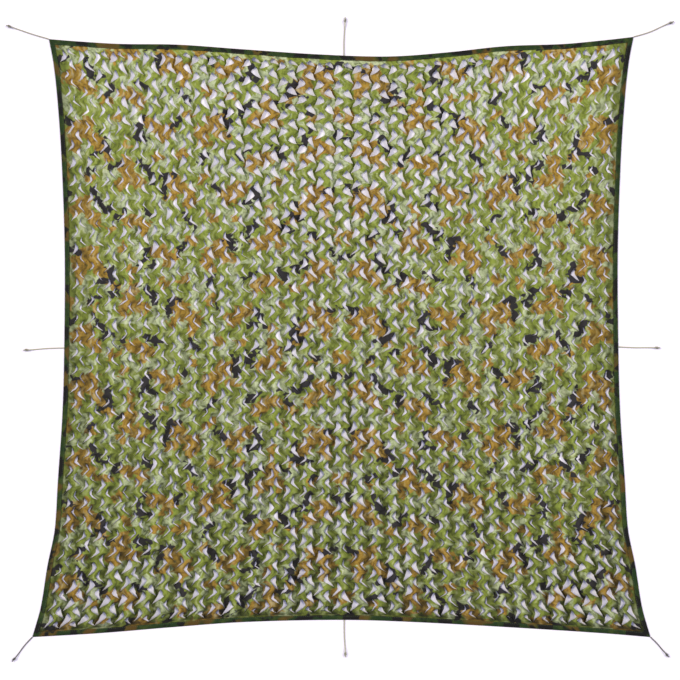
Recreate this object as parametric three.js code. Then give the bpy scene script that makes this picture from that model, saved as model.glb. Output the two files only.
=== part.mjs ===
// A camouflage net for a shelter or a garden roof: one square of cloth, cut all over with
// leaf-shaped slits that pull open into gaps, with a folded tape bound over each edge and
// eight short tie ropes, each stopped with a knot.
//
// Millimetres, +Z up. The net lies on the floor as its ropes have pulled it, so its corners
// reach out and its edges bow inwards. The origin is on the floor under the middle of the
// net. +X runs to the right along its near edge and +Y to its far edge.

import * as THREE from "three";

// --- Driving dimensions -------------------------------------------------------------------

const FLAT_SIDE = 3000; // the square that the net is cut and bound to
const CLOTH_THICK = 2; // the cut cloth, with the fullness of its folds
const TAPE_THICK = 1.2; // one layer of the edge tape
const TAPE_WIDTH = 25; // the tape's reach over each face of the net
const CLEARANCE = 0.3; // between pieces that touch
const MITRE_CLEARANCE = 0.25; // each tape's share of the gap at a mitred corner

const GAPS_A_SIDE = 17; // gaps in a row, and rows of gaps
const FIRST_GAP_LINE = 40; // from the edge of the net to the first line of gaps
const MARGIN_LINE = 27; // the cloth is flat from its edge to here
const ROW_SHIFT = 0.22; // the rows stand alternately left and right, in cells

const ROPE_DIAMETER = 6;
const ROPE_SIDES = 8;
const ROPE_STEP = 2.5 * ROPE_DIAMETER;
const ROPE_CLEARANCE = 0.8; // from the net's outline to the end of a rope
const KNOT_RADIUS = 7;
const KNOT_RISE = 30; // the last stretch of rope, which climbs to the middle of its knot

// --- The outline of the stretched net -----------------------------------------------------

const corners = {
  topLeft: new THREE.Vector2(-1462, 1489),
  topRight: new THREE.Vector2(1460, 1500),
  bottomLeft: new THREE.Vector2(-1545, -1500),
  bottomRight: new THREE.Vector2(1545, -1500),
};

// How far each edge bows in from the straight line between its corners: along is the share
// of the edge, from its first corner, and inward is in millimetres.
const topBow = [
  { along: 0, inward: 0 },
  { along: 0.05, inward: 12 },
  { along: 0.12, inward: 25 },
  { along: 0.22, inward: 30 },
  { along: 0.33, inward: 54 },
  { along: 0.46, inward: 81 },
  { along: 0.58, inward: 93 },
  { along: 0.68, inward: 74 },
  { along: 0.78, inward: 44 },
  { along: 0.88, inward: 34 },
  { along: 0.95, inward: 16 },
  { along: 1, inward: 0 },
];
const bottomBow = [
  { along: 0, inward: 0 },
  { along: 0.11, inward: 20 },
  { along: 0.22, inward: 48 },
  { along: 0.34, inward: 75 },
  { along: 0.5, inward: 86 },
  { along: 0.62, inward: 75 },
  { along: 0.8, inward: 44 },
  { along: 0.92, inward: 20 },
  { along: 1, inward: 0 },
];
const sideBow = [
  { along: 0, inward: 0 },
  { along: 0.04, inward: 26 },
  { along: 0.1, inward: 51 },
  { along: 0.2, inward: 80 },
  { along: 0.35, inward: 108 },
  { along: 0.5, inward: 119 },
  { along: 0.62, inward: 120 },
  { along: 0.74, inward: 106 },
  { along: 0.82, inward: 97 },
  { along: 0.88, inward: 66 },
  { along: 0.95, inward: 38 },
  { along: 1, inward: 0 },
];

// turn is the side of the edge that the net lies on: 1 to the left of the way it runs.
const edges = {
  top: { from: corners.topLeft, to: corners.topRight, bow: topBow, turn: -1 },
  bottom: { from: corners.bottomLeft, to: corners.bottomRight, bow: bottomBow, turn: 1 },
  left: { from: corners.topLeft, to: corners.bottomLeft, bow: sideBow, turn: 1 },
  right: { from: corners.topRight, to: corners.bottomRight, bow: sideBow, turn: -1 },
};

// The bow at a share of the edge, on a smooth curve through the table's rows.
function bowAt(rows, along) {
  const last = rows.length - 1;
  const slope = (i) => {
    const before = rows[Math.max(i - 1, 0)];
    const after = rows[Math.min(i + 1, last)];
    return (after.inward - before.inward) / (after.along - before.along);
  };
  let i = 0;
  while (i < last - 1 && along > rows[i + 1].along) i += 1;
  const [a, b] = [rows[i], rows[i + 1]];
  const span = b.along - a.along;
  const x = (along - a.along) / span;
  return (
    (2 * x ** 3 - 3 * x ** 2 + 1) * a.inward +
    (x ** 3 - 2 * x ** 2 + x) * span * slope(i) +
    (3 * x ** 2 - 2 * x ** 3) * b.inward +
    (x ** 3 - x ** 2) * span * slope(i + 1)
  );
}

function pointOnEdge({ from, to, bow, turn }, along) {
  const run = to.clone().sub(from);
  const inward = new THREE.Vector2(-run.y, run.x).normalize().multiplyScalar(turn);
  return from.clone().addScaledVector(run, along).addScaledVector(inward, bowAt(bow, along));
}

// Where a point of the flat square lies once the net is stretched: across and down are its
// distances from the left and the top edge of the square. The square's inside follows its
// four bowed edges evenly.
function stretched(across, down) {
  const u = across / FLAT_SIDE;
  const v = down / FLAT_SIDE;
  const p = new THREE.Vector2();
  p.addScaledVector(pointOnEdge(edges.top, u), 1 - v);
  p.addScaledVector(pointOnEdge(edges.bottom, u), v);
  p.addScaledVector(pointOnEdge(edges.left, v), 1 - u);
  p.addScaledVector(pointOnEdge(edges.right, v), u);
  p.addScaledVector(corners.topLeft, -(1 - u) * (1 - v));
  p.addScaledVector(corners.topRight, -u * (1 - v));
  p.addScaledVector(corners.bottomLeft, -(1 - u) * v);
  p.addScaledVector(corners.bottomRight, -u * v);
  return p;
}

// --- Making solids ------------------------------------------------------------------------

const olive = new THREE.MeshStandardMaterial({ color: 0x84913f, roughness: 0.75 });
const darkGreen = new THREE.MeshStandardMaterial({ color: 0x26402b, roughness: 0.8 });
const greyCord = new THREE.MeshStandardMaterial({ color: 0x74725f, roughness: 0.85 });

// A named mesh of triangles whose faces are turned outwards.
function solid(name, points, triangles, material) {
  let volume = 0;
  for (const [a, b, c] of triangles) {
    volume += points[a].dot(points[b].clone().cross(points[c]));
  }
  const faces = volume < 0 ? triangles.map(([a, b, c]) => [a, c, b]) : triangles;
  const geometry = new THREE.BufferGeometry().setFromPoints(points);
  geometry.setIndex(faces.flat());
  geometry.computeVertexNormals();
  const mesh = new THREE.Mesh(geometry, material);
  mesh.name = name;
  return mesh;
}

// A sheet made thick: points give its underside and triangles face up. Every edge that one
// triangle alone uses, at the outline or round a gap, gets a wall.
function thickened(name, points, triangles, thickness, material) {
  const count = points.length;
  const upper = points.map((p) => new THREE.Vector3(p.x, p.y, p.z + thickness));
  const faces = [];
  const open = new Map();
  for (const [a, b, c] of triangles) {
    faces.push([a + count, b + count, c + count], [a, c, b]);
    for (const [from, to] of [[a, b], [b, c], [c, a]]) {
      if (!open.delete(`${to},${from}`)) open.set(`${from},${to}`, [from, to]);
    }
  }
  for (const [from, to] of open.values()) {
    faces.push([from, to, to + count], [from, to + count, from + count]);
  }
  return solid(name, [...points, ...upper], faces, material);
}

// A closed body through rings of points, with the same number of points in each ring. section
// is the ring's outline, flat, which gives the triangles of the two end caps.
function lofted(name, rings, section, material) {
  const size = section.length;
  const points = rings.flat();
  const faces = [];
  for (let ring = 0; ring < rings.length - 1; ring += 1) {
    for (let i = 0; i < size; i += 1) {
      const a = ring * size + i;
      const b = ring * size + ((i + 1) % size);
      faces.push([a, b, b + size], [a, b + size, a + size]);
    }
  }
  const lastRing = (rings.length - 1) * size;
  for (const [a, b, c] of THREE.ShapeUtils.triangulateShape(section, [])) {
    faces.push([a, c, b], [a + lastRing, b + lastRing, c + lastRing]);
  }
  return solid(name, points, faces, material);
}

// --- The net ------------------------------------------------------------------------------

const netRestHeight = TAPE_THICK + CLEARANCE; // inside the folded tape
const gapPitch = (FLAT_SIDE - 2 * FIRST_GAP_LINE) / GAPS_A_SIDE;

// The lines that the net is laid out on, the same across and down: its edge, the end of its
// flat margin, and the lines between the gaps.
const gapLines = Array.from({ length: GAPS_A_SIDE + 1 }, (_, i) => FIRST_GAP_LINE + i * gapPitch);
const layoutLines = [
  netRestHeight,
  MARGIN_LINE,
  ...gapLines,
  FLAT_SIDE - MARGIN_LINE,
  FLAT_SIDE - netRestHeight,
];
const firstGapIndex = 2;
const lastGapIndex = firstGapIndex + GAPS_A_SIDE;

// A gap that leans right, as shares of a cell from its middle. Its right side is a full
// curve, and the cloth's tongue fills the hollow of its left side. lift is how far the
// cloth stands off the floor there, in millimetres.
const gapOutline = [
  { across: -0.03, up: 0.4, lift: 4 },
  { across: -0.07, up: 0.08, lift: 12 },
  { across: -0.15, up: -0.12, lift: 9 },
  { across: -0.25, up: -0.36, lift: 3 },
  { across: 0.21, up: -0.06, lift: 5 },
  { across: 0.2, up: 0.2, lift: 2 },
];

function net() {
  const points = [];
  const triangles = [];
  const addPoint = (across, down, lift) => {
    const place = stretched(across, down);
    points.push(new THREE.Vector3(place.x, place.y, lift));
    return points.length - 1;
  };
  const betweenGaps = (i) => i >= firstGapIndex && i <= lastGapIndex;
  const grid = layoutLines.map((down, row) =>
    layoutLines.map((across, column) =>
      addPoint(across, down, betweenGaps(row) && betweenGaps(column) ? 0 : netRestHeight),
    ),
  );

  // One cell of cloth round its gap. The rows lean right and left by turns, and each row
  // stands half a cell along from the next.
  const addGapCell = (row, column, frame) => {
    const lean = row % 2 === 0 ? 1 : -1;
    const middleAcross = layoutLines[column] + gapPitch * (0.5 - lean * ROW_SHIFT);
    const middleDown = layoutLines[row] + gapPitch / 2;
    const hole = gapOutline.map(({ across, up, lift }) =>
      addPoint(middleAcross + lean * across * gapPitch, middleDown - up * gapPitch, lift),
    );
    const ring = lean > 0 ? hole.reverse() : hole;
    const flat = (i) => new THREE.Vector2(points[i].x, points[i].y);
    const all = [...frame, ...ring];
    for (const face of THREE.ShapeUtils.triangulateShape(frame.map(flat), [ring.map(flat)])) {
      triangles.push(face.map((i) => all[i]));
    }
  };

  for (let row = 0; row < grid.length - 1; row += 1) {
    for (let column = 0; column < grid.length - 1; column += 1) {
      const frame = [
        grid[row + 1][column],
        grid[row + 1][column + 1],
        grid[row][column + 1],
        grid[row][column],
      ];
      const hasGap = [row, column].every((i) => i >= firstGapIndex && i < lastGapIndex);
      if (hasGap) {
        addGapCell(row, column, frame);
      } else {
        triangles.push([frame[0], frame[1], frame[2]], [frame[0], frame[2], frame[3]]);
      }
    }
  }
  return thickened("net", points, triangles, CLOTH_THICK, olive);
}

// --- The edge tape ------------------------------------------------------------------------

// The folded tape's section: inward is from the outer edge of the net, and height from the
// floor. The net's edge lies between its two layers.
const upperLayer = netRestHeight + CLOTH_THICK + CLEARANCE;
const tapeSection = [
  { inward: 0, height: 0 },
  { inward: TAPE_WIDTH, height: 0 },
  { inward: TAPE_WIDTH, height: TAPE_THICK },
  { inward: TAPE_THICK, height: TAPE_THICK },
  { inward: TAPE_THICK, height: upperLayer },
  { inward: TAPE_WIDTH, height: upperLayer },
  { inward: TAPE_WIDTH, height: upperLayer + TAPE_THICK },
  { inward: 0, height: upperLayer + TAPE_THICK },
];

// toSquare turns a place on the tape, along its edge and inward from it, into across and
// down on the flat square. The ends are cut along the corner's diagonal.
const tapes = [
  { name: "binding_top", toSquare: (along, inward) => [along, inward] },
  { name: "binding_bottom", toSquare: (along, inward) => [along, FLAT_SIDE - inward] },
  { name: "binding_left", toSquare: (along, inward) => [inward, along] },
  { name: "binding_right", toSquare: (along, inward) => [FLAT_SIDE - inward, along] },
];

function tape({ name, toSquare }) {
  const ringAt = (alongOf) =>
    tapeSection.map(({ inward, height }) => {
      const place = stretched(...toSquare(alongOf(inward), inward));
      return new THREE.Vector3(place.x, place.y, height);
    });
  const rings = [
    ringAt((inward) => inward + MITRE_CLEARANCE),
    ...layoutLines.slice(1, -1).map((along) => ringAt(() => along)),
    ringAt((inward) => FLAT_SIDE - inward - MITRE_CLEARANCE),
  ];
  const section = tapeSection.map(({ inward, height }) => new THREE.Vector2(inward, height));
  return lofted(name, rings, section, darkGreen);
}

// --- The ropes and their knots ------------------------------------------------------------

// The ropes between the corners are sewn on a little past the middle of each edge.
const topRopePlace = FLAT_SIDE / 2 + 14;
const sideRopePlace = FLAT_SIDE / 2 + 46;

// Each rope leaves the square at across and down, and runs to its knot, which lies at reach
// from there. sway is how far the middle of the rope lies off the straight line, to its left.
const ropes = [
  { place: "top_left", across: 0, down: 0, reach: [-188, 60], sway: 2 },
  { place: "top", across: topRopePlace, down: 0, reach: [5, 165], sway: 2 },
  { place: "top_right", across: FLAT_SIDE, down: 0, reach: [177, 67], sway: -6 },
  { place: "right", across: FLAT_SIDE, down: sideRopePlace, reach: [182, -4], sway: -2 },
  { place: "bottom_right", across: FLAT_SIDE, down: FLAT_SIDE, reach: [75, -81], sway: 2 },
  { place: "bottom", across: topRopePlace, down: FLAT_SIDE, reach: [5, -160], sway: -2 },
  { place: "bottom_left", across: 0, down: FLAT_SIDE, reach: [-84, -102], sway: -3 },
  { place: "left", across: 0, down: sideRopePlace, reach: [-178, -10], sway: -2 },
];

// A knot's outline, from the rope to the end of its cut tail: a wound belly with two ridges.
const knotProfile = [
  { along: 0, radius: 0 },
  { along: 0, radius: 3.6 },
  { along: 3, radius: KNOT_RADIUS - 0.6 },
  { along: 6, radius: KNOT_RADIUS },
  { along: 9, radius: KNOT_RADIUS - 1.2 },
  { along: 12, radius: KNOT_RADIUS },
  { along: 15, radius: KNOT_RADIUS - 0.8 },
  { along: 18, radius: 3 },
  { along: 26, radius: 3 },
  { along: 26, radius: 0 },
];

function rope({ place, across, down, reach, sway }) {
  const exit = stretched(across, down);
  const run = new THREE.Vector2(...reach);
  const way = run.clone().normalize();
  const toLeft = new THREE.Vector2(-way.y, way.x);
  const length = run.length();
  const at = (along, offset, height) =>
    new THREE.Vector3(
      exit.x + way.x * along + toLeft.x * offset,
      exit.y + way.y * along + toLeft.y * offset,
      height,
    );
  const onFloor = ROPE_DIAMETER / 2;
  const path = new THREE.CatmullRomCurve3([
    at(ROPE_CLEARANCE, 0, onFloor),
    at(length * 0.25, sway * 0.75, onFloor),
    at(length * 0.5, sway, onFloor),
    at(length - KNOT_RISE, sway * 0.2, onFloor),
    at(length - KNOT_RISE / 4, 0, KNOT_RADIUS),
    at(length - CLEARANCE, 0, KNOT_RADIUS),
  ]);
  const corner = (_, i) => {
    const angle = (2 * Math.PI * i) / ROPE_SIDES;
    return new THREE.Vector2(onFloor * Math.cos(angle), onFloor * Math.sin(angle));
  };
  const section = new THREE.Shape(Array.from({ length: ROPE_SIDES }, corner));
  const geometry = new THREE.ExtrudeGeometry(section, {
    steps: Math.round(length / ROPE_STEP),
    extrudePath: path,
  });
  const mesh = new THREE.Mesh(geometry, greyCord);
  mesh.name = `rope_${place}`;

  const profile = knotProfile.map(({ along, radius }) => new THREE.Vector2(radius, along));
  const knot = new THREE.Mesh(new THREE.LatheGeometry(profile, ROPE_SIDES), greyCord);
  knot.name = `knot_${place}`;
  const knotWay = new THREE.Vector3(way.x, way.y, 0);
  knot.position.copy(at(length, 0, KNOT_RADIUS));
  knot.quaternion.setFromUnitVectors(new THREE.Vector3(0, 1, 0), knotWay);
  return [mesh, knot];
}

// --- The whole net ------------------------------------------------------------------------

const camouflageNet = new THREE.Group();
camouflageNet.add(net());
for (const row of tapes) camouflageNet.add(tape(row));
for (const row of ropes) camouflageNet.add(...rope(row));

export default camouflageNet;
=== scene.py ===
# %% [markdown]
# # A camouflage net, dressed in Blender
#
# The net is one square of thin printed cloth, cut all over with leaf-shaped slits. When its
# ropes pull on it, the slits open into gaps and the strips of cloth between them twist up and
# down. A folded tape is sewn over each edge, and eight short tie ropes end in stopper knots.
#
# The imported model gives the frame: where each piece lies and how big it is. This file builds
# finer pieces in the same places, gives them their finishes, and lights them for a plain
# studio picture from straight above.

# %% Load the fixed frame
import math

import bpy
import numpy as np
from mathutils import Matrix, Vector


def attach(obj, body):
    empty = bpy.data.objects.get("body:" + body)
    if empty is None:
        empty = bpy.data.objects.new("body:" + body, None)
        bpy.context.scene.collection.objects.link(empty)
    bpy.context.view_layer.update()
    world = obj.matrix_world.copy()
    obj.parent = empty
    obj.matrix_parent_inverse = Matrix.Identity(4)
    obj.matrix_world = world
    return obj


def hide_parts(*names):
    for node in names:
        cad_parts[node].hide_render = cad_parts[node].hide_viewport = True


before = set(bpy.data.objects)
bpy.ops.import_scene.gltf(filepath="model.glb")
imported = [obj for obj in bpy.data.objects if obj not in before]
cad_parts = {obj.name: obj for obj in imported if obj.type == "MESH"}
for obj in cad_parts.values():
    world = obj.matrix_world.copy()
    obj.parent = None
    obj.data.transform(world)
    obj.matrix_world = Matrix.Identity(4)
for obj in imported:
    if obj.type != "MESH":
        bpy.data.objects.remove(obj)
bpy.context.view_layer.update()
print("pieces in the frame:", len(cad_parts))

# %% [markdown]
# ## The camera
#
# The picture is taken from straight above with a long lens, so that the net's square keeps
# its shape and nothing leans outwards. A short lens closer by would show the same width, and
# would bend the edges of the view away. The camera is set first, because every later choice
# of how coarse a detail must be comes from how many millimetres one dot of the picture covers.

# %% Camera straight above the net
MM = 0.001
PICTURE_DOTS = 680
VIEW_WIDTH = 3400 * MM
VIEW_CENTRE = (-7 * MM, -15 * MM)
LENS = 100
SENSOR = 36

camera_data = bpy.data.cameras.new("camera")
camera_data.lens = LENS
camera_data.sensor_width = SENSOR
camera = bpy.data.objects.new("camera", camera_data)
camera.location = (*VIEW_CENTRE, VIEW_WIDTH * LENS / SENSOR)
bpy.context.scene.collection.objects.link(camera)
bpy.context.scene.camera = camera
print("camera height:", round(camera.location.z, 2), "m")
print("one dot of the picture covers", VIEW_WIDTH / MM / PICTURE_DOTS, "mm")

# %% [markdown]
# ## The outline of the stretched net
#
# The net is cut as a square of 3 m. Stretched by its ropes, its corners reach out and each
# edge bows inwards between them. Each bow is a short table: how far along the edge, and how
# far in. A smooth curve runs through its rows.
#
# One function, `stretched`, then turns any place on the flat square into its place on the
# floor. Everything sewn to the net or cut in it is laid out on the flat square first, as a
# maker would cut it, and goes through that function.

# %% Corners and bows, in millimetres
FLAT_SIDE = 3000
TOP_LEFT, TOP_RIGHT = np.array([-1462, 1489]), np.array([1460, 1500])
BOTTOM_LEFT, BOTTOM_RIGHT = np.array([-1545, -1500]), np.array([1545, -1500])

# (share of the edge, millimetres in from the straight line between the corners)
TOP_BOW = [(0, 0), (0.05, 12), (0.12, 25), (0.22, 30), (0.33, 54), (0.46, 81),
           (0.58, 93), (0.68, 74), (0.78, 44), (0.88, 34), (0.95, 16), (1, 0)]
BOTTOM_BOW = [(0, 0), (0.11, 20), (0.22, 48), (0.34, 75), (0.5, 86), (0.62, 75),
              (0.8, 44), (0.92, 20), (1, 0)]
SIDE_BOW = [(0, 0), (0.04, 26), (0.1, 51), (0.2, 80), (0.35, 108), (0.5, 119),
            (0.62, 120), (0.74, 106), (0.82, 97), (0.88, 66), (0.95, 38), (1, 0)]


def curve_weights(x):
    """At x from 0 to 1 on a smooth curve: how much its start, way out, end and way in count."""
    return 2 * x**3 - 3 * x**2 + 1, x**3 - 2 * x**2 + x, 3 * x**2 - 2 * x**3, x**3 - x**2


def bow_at(rows, along):
    """How far in the edge lies at each share along it, on a smooth curve through the rows."""
    place, inward = np.array(rows, float).T
    last = len(rows) - 1
    before = np.maximum(np.arange(last + 1) - 1, 0)
    after = np.minimum(np.arange(last + 1) + 1, last)
    slope = (inward[after] - inward[before]) / (place[after] - place[before])
    i = np.clip(np.searchsorted(place, along, side="right") - 1, 0, last - 1)
    span = place[i + 1] - place[i]
    start, out, end, into = curve_weights((along - place[i]) / span)
    return (start * inward[i] + out * span * slope[i]
            + end * inward[i + 1] + into * span * slope[i + 1])


def on_edge(start, end, rows, turn, along):
    """Points on one bowed edge. turn is 1 where the net lies to the left of the way it runs."""
    run = (end - start).astype(float)
    inward = np.array([-run[1], run[0]]) / np.linalg.norm(run) * turn
    along = np.asarray(along, float)
    return start + along[..., None] * run + bow_at(rows, along)[..., None] * inward


def stretched(across, down):
    """Where places on the flat square, in millimetres from its left and top edge, lie."""
    u, v = np.broadcast_arrays(np.asarray(across) / FLAT_SIDE, np.asarray(down) / FLAT_SIDE)
    a, b = u[..., None], v[..., None]
    place = (1 - b) * on_edge(TOP_LEFT, TOP_RIGHT, TOP_BOW, -1, u)
    place += b * on_edge(BOTTOM_LEFT, BOTTOM_RIGHT, BOTTOM_BOW, 1, u)
    place += (1 - a) * on_edge(TOP_LEFT, BOTTOM_LEFT, SIDE_BOW, 1, v)
    place += a * on_edge(TOP_RIGHT, BOTTOM_RIGHT, SIDE_BOW, -1, v)
    place -= (1 - a) * (1 - b) * TOP_LEFT + a * (1 - b) * TOP_RIGHT
    return place - (1 - a) * b * BOTTOM_LEFT - a * b * BOTTOM_RIGHT


middle = stretched(FLAT_SIDE / 2, FLAT_SIDE / 2)
waist = np.linalg.norm(stretched(0, FLAT_SIDE / 2) - stretched(FLAT_SIDE, FLAT_SIDE / 2))
print("middle of the net:", middle.round(1), "mm; width there:", round(waist), "mm")

# %% [markdown]
# ## Two small helpers for meshes
#
# Most pieces here are made from plain lists: points in millimetres, and faces as rows of
# point numbers. `piece` turns them into an object in metres. `tube` sweeps a ring of points
# along a path, which serves for the ropes and their knots.

# %% Points and faces into an object
def piece(name, points, faces, sharp_degrees=60):
    """A mesh object from points in millimetres, smooth but for edges sharper than that."""
    mesh = bpy.data.meshes.new(name)
    mesh.from_pydata((np.asarray(points) * MM).tolist(), [], [list(map(int, f)) for f in faces])
    mesh.shade_smooth()
    mesh.set_sharp_from_angle(angle=math.radians(sharp_degrees))
    made = bpy.data.objects.new(name, mesh)
    bpy.context.scene.collection.objects.link(made)
    return made


def tube(path, radius_at):
    """Points and faces of a closed tube. radius_at(i) gives ring i's radii, one a corner."""
    path = [Vector(p) for p in path]
    points, faces = [], []
    ways = [(after - before).normalized()
            for before, after in zip([path[0], *path], [*path[1:], path[-1]])]
    side = ways[0].orthogonal().normalized()
    for i, (centre, way) in enumerate(zip(path, ways)):
        side = (side - way * side.dot(way)).normalized()
        over = way.cross(side)
        radii = radius_at(i)
        for k, radius in enumerate(radii):
            angle = 2 * math.pi * k / len(radii)
            points.append(centre + (side * math.cos(angle) + over * math.sin(angle)) * radius)
    size = len(radii)
    for ring in range(len(path) - 1):
        for k in range(size):
            a, b = ring * size + k, ring * size + (k + 1) % size
            faces.append([a, b, b + size, a + size])
    faces.append(list(range(size))[::-1])
    faces.append([len(points) - size + k for k in range(size)])
    return [tuple(p) for p in points], faces


# %% [markdown]
# ## The tie ropes
#
# Each rope is laid polypropylene cord, 6 mm thick: three strands twisted round each other.
# A round bar with a bump map would look right only from afar, so the three strands are in
# the section itself, a rounded clover that turns along the rope. The rope's whole length
# shows: it leaves the tape, lies along the floor and climbs a little into its knot.

# %% Where each rope runs
ROPE_DIAMETER = 6
KNOT_RADIUS = 7
KNOT_RISE = 30  # the last stretch of rope, which climbs to the middle of its knot
ROPE_CLEARANCE = 0.8
CLEARANCE = 0.3
TAIL_END = 26  # from the start of the knot to the end of its cut tail
TOP_ROPE_PLACE = FLAT_SIDE / 2 + 14
SIDE_ROPE_PLACE = FLAT_SIDE / 2 + 46

# place: (across, down) on the square, the run to the knot, and the middle's sway to the left
ROPES = {
    "top_left": ((0, 0), (-188, 60), 2),
    "top": ((TOP_ROPE_PLACE, 0), (5, 165), 2),
    "top_right": ((FLAT_SIDE, 0), (177, 67), -6),
    "right": ((FLAT_SIDE, SIDE_ROPE_PLACE), (182, -4), -2),
    "bottom_right": ((FLAT_SIDE, FLAT_SIDE), (75, -81), 2),
    "bottom": ((TOP_ROPE_PLACE, FLAT_SIDE), (5, -160), -2),
    "bottom_left": ((0, FLAT_SIDE), (-84, -102), -3),
    "left": ((0, SIDE_ROPE_PLACE), (-178, -10), -2),
}


def rope_route(place):
    """The rope's exit, the way it runs, its length to the knot, and its route's points."""
    (across, down), run, sway = ROPES[place]
    exit_point = Vector((*stretched(across, down), 0))
    length = math.hypot(*run)
    way = Vector((run[0] / length, run[1] / length, 0))
    to_left = Vector((-way.y, way.x, 0))
    on_floor = ROPE_DIAMETER / 2
    rows = [
        (ROPE_CLEARANCE, 0, on_floor),
        (length * 0.25, sway * 0.75, on_floor),
        (length * 0.5, sway, on_floor),
        (length - KNOT_RISE, sway * 0.2, on_floor),
        (length - KNOT_RISE / 4, 0, KNOT_RADIUS),
        (length - CLEARANCE, 0, KNOT_RADIUS),
    ]
    route = [exit_point + way * s + to_left * t + Vector((0, 0, h)) for s, t, h in rows]
    return exit_point, way, length, route


def smooth_line(points, step):
    """The points of a smooth curve through these points, about step apart."""
    line = []
    for i in range(len(points) - 1):
        before, after = points[max(i - 1, 0)], points[min(i + 2, len(points) - 1)]
        ends = points[i], points[i + 1]
        span = (ends[1] - ends[0]).length
        out = (ends[1] - before) * (span / max((ends[1] - before).length, span))
        into = (after - ends[0]) * (span / max((after - ends[0]).length, span))
        steps = max(2, round(span / step))
        for k in range(steps):
            start, outward, end, inward = curve_weights(k / steps)
            line.append(ends[0] * start + out * outward + ends[1] * end + into * inward)
    return [*line, points[-1]]


# %% Three strands, laid
STRANDS = 3
LAY_LENGTH = 22  # one full turn of a strand
ROPE_CORNERS = 18
ROPE_STEP = 2.2
STRAND_DEPTH = 0.22  # how far the groove between two strands goes in, as a share


def strand_radii(along, radius):
    """The section's radii at a distance along the rope: three lobes that turn as it goes."""
    turn = 2 * math.pi * along / LAY_LENGTH
    angles = [2 * math.pi * k / ROPE_CORNERS for k in range(ROPE_CORNERS)]
    return [radius * (1 - STRAND_DEPTH * (0.5 - 0.5 * math.cos(STRANDS * (a - turn)))) for a in angles]


def laid_rope(path, radius):
    """A twisted rope along a path whose points are evenly spaced."""
    step = (Vector(path[1]) - Vector(path[0])).length
    return tube(path, lambda i: strand_radii(i * step, radius))


# %% [markdown]
# ## The knots
#
# Each rope ends in a double stopper knot: the tail is wound twice round the rope, tucked
# back through, pulled tight and cut. It could be one lathe-turned bead. Winding a second,
# slightly thinner turn of the same laid rope round the straight core gives the two proud
# ridges and the slanting strand that passes over them.

# %% Winding a knot
WOUND_TURNS = 2.4
WIND_START, WIND_END = 1.5, 17.5  # from the start of the knot
WIND_STEPS, WIND_RISE = 60, 6  # points in the winding, and how steeply its ends leave the core
CORE_RADIUS, WOUND_RADIUS = 2.9, 2.3  # rope pulled tight is thinner
CORE_STEP = 2
WIND_OUT = KNOT_RADIUS - WOUND_RADIUS


def knot_shape(start, way):
    """Points and faces of a knot whose axis starts at start and runs along way."""
    side = way.cross(Vector((0, 0, 1))).normalized()
    up = side.cross(way)
    core = [start + way * s for s in range(0, TAIL_END + 1, CORE_STEP)]
    points, faces = laid_rope(core, CORE_RADIUS)
    wound = []
    for k in range(WIND_STEPS + 1):
        x = k / WIND_STEPS
        angle = 2 * math.pi * WOUND_TURNS * x
        out = WIND_OUT * min(1, WIND_RISE * x, WIND_RISE * (1 - x)) ** 0.5
        along = WIND_START + (WIND_END - WIND_START) * x
        wound.append(start + way * along + (side * math.cos(angle) + up * math.sin(angle)) * out)
    more_points, more_faces = laid_rope(wound, WOUND_RADIUS)
    offset = len(points)
    return points + more_points, faces + [[i + offset for i in f] for f in more_faces]


# %% Ropes and knots as pieces
rope_pieces, knot_pieces = {}, {}
for place in ROPES:
    exit_point, way, length, route = rope_route(place)
    line = smooth_line(route, ROPE_STEP)
    points, faces = laid_rope(line, ROPE_DIAMETER / 2)
    rope = piece(f"laid_rope_{place}", points, faces)
    start = exit_point + way * length + Vector((0, 0, KNOT_RADIUS))
    knot = piece(f"stopper_knot_{place}", *knot_shape(start, way))
    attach(rope, "root")
    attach(knot, "root")
    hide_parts(f"rope_{place}")
    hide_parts(f"knot_{place}")
    rope_pieces[place], knot_pieces[place] = rope, knot

# %% [markdown]
# ## How the net is cut
#
# The machine cuts the gaps in upright columns. Every second column leans the other way and
# stands half a gap lower, so each strip of cloth between two columns runs down the net in a
# zigzag. Cutting them as holes in a flat sheet with a boolean would leave long thin
# triangles that shade badly. Here each gap has its own cell: an outer ring of points shared
# with its neighbours, an inner ring round the gap, and one belt of triangles between them.

# %% Columns and cells
COLUMNS = 66
ROWS = 34
MARGIN = 34  # from the net's outline to the first column
NET_EDGE = 1.5  # the net's own edge, just inside the folded tape
FLAT_MARGIN = 27  # the cloth lies flat under the tape, out to here
SIDE_STEPS = 6  # steps in a cell's side
HALF_STEPS = SIDE_STEPS // 2  # a half-cell shift
LINE_WANDER = 0.9  # how unevenly the strips are cut
ZIGZAG = 9  # how far a strip swings to each side
ZIGZAG_SHIFT = 10  # the swing is furthest this far above a gap's middle

column_width = (FLAT_SIDE - 2 * MARGIN) / COLUMNS
cell_height = (FLAT_SIDE - 2 * MARGIN) / ROWS
side_count = SIDE_STEPS * ROWS + 1
rng = np.random.default_rng(7)
print(f"a cell is {column_width:.1f} by {cell_height:.1f} mm")

# Points on the lines between columns: line_across[k, i] is step i down line k.
line_down = MARGIN + np.arange(side_count) * cell_height / SIDE_STEPS
from_turn = line_down - MARGIN - cell_height / 2 + ZIGZAG_SHIFT
swing = ZIGZAG * np.cos(2 * math.pi * from_turn / cell_height)
line_across = MARGIN + np.arange(COLUMNS + 1)[:, None] * column_width + swing[None, :]
line_across[0], line_across[-1] = MARGIN, FLAT_SIDE - MARGIN
line_across[:, 0] = line_across[:, -1] = MARGIN + np.arange(COLUMNS + 1) * column_width
wander = rng.normal(0, LINE_WANDER, line_across.shape)
wander[:, [0, -1]] = wander[[0, -1], :] = 0
line_across += wander

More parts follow.
